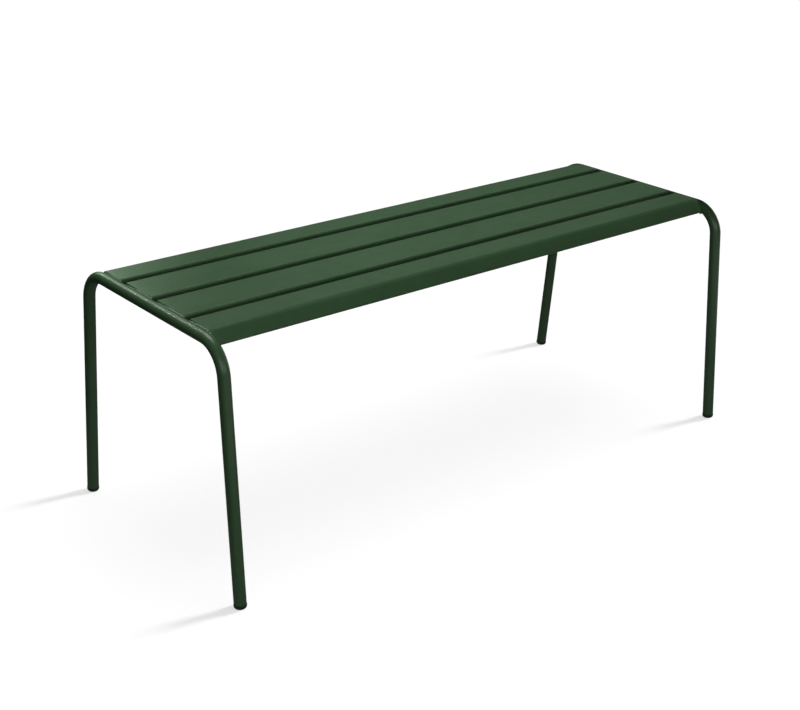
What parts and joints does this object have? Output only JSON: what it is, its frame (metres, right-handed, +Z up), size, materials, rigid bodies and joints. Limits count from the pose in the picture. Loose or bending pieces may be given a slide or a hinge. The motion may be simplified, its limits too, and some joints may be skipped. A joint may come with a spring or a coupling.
{
  "type": "backless bench",
  "caption": "Backless garden bench of painted steel: long folded sheet slats with open slots between bent round-tube end frames on splayed legs with plastic glides.",
  "frame": {"origin": "on the floor, under the middle of the seat", "axes": "+X along the seat's length, -Y is the front, +Z up"},
  "size_m": [1.18, 0.5052, 0.45],
  "materials": {
    "painted_steel": "satin dark green powder coat with a fine texture",
    "black_plastic": "satin moulded black plastic"
  },
  "bodies": {
    "root": {"frame_tube_left": "painted_steel", "frame_tube_right": "painted_steel", "glide_front_left": "black_plastic", "glide_front_right": "black_plastic", "glide_rear_left": "black_plastic", "glide_rear_right": "black_plastic", "slat_inner_front": "painted_steel", "slat_inner_rear": "painted_steel", "slat_outer_front": "painted_steel", "slat_outer_rear": "painted_steel", "brace_left": "painted_steel", "brace_right": "painted_steel", "weld_inner_middle_front_left": "painted_steel", "brace_weld_inner_middle_front_left": "painted_steel", "weld_inner_middle_front_right": "painted_steel", "brace_weld_inner_middle_front_right": "painted_steel", "weld_inner_middle_rear_left": "painted_steel", "brace_weld_inner_middle_rear_left": "painted_steel", "weld_inner_middle_rear_right": "painted_steel", "brace_weld_inner_middle_rear_right": "painted_steel", "weld_inner_edge_front_left": "painted_steel", "brace_weld_inner_edge_front_left": "painted_steel", "weld_inner_edge_front_right": "painted_steel", "brace_weld_inner_edge_front_right": "painted_steel", "weld_inner_edge_rear_left": "painted_steel", "brace_weld_inner_edge_rear_left": "painted_steel", "weld_inner_edge_rear_right": "painted_steel", "brace_weld_inner_edge_rear_right": "painted_steel", "weld_outer_edge_front_left": "painted_steel", "brace_weld_outer_edge_front_left": "painted_steel", "weld_outer_edge_front_right": "painted_steel", "brace_weld_outer_edge_front_right": "painted_steel", "weld_outer_edge_rear_left": "painted_steel", "brace_weld_outer_edge_rear_left": "painted_steel", "weld_outer_edge_rear_right": "painted_steel", "brace_weld_outer_edge_rear_right": "painted_steel", "weld_apron_front_left": "painted_steel", "weld_apron_front_right": "painted_steel", "weld_apron_rear_left": "painted_steel", "weld_apron_rear_right": "painted_steel", "seam_weld_inner_front_left": "painted_steel", "seam_weld_inner_front_right": "painted_steel", "seam_weld_inner_rear_left": "painted_steel", "seam_weld_inner_rear_right": "painted_steel", "seam_weld_outer_front_left": "painted_steel", "seam_weld_outer_front_right": "painted_steel", "seam_weld_outer_rear_left": "painted_steel", "seam_weld_outer_rear_right": "painted_steel"}
  },
  "joints": []
}
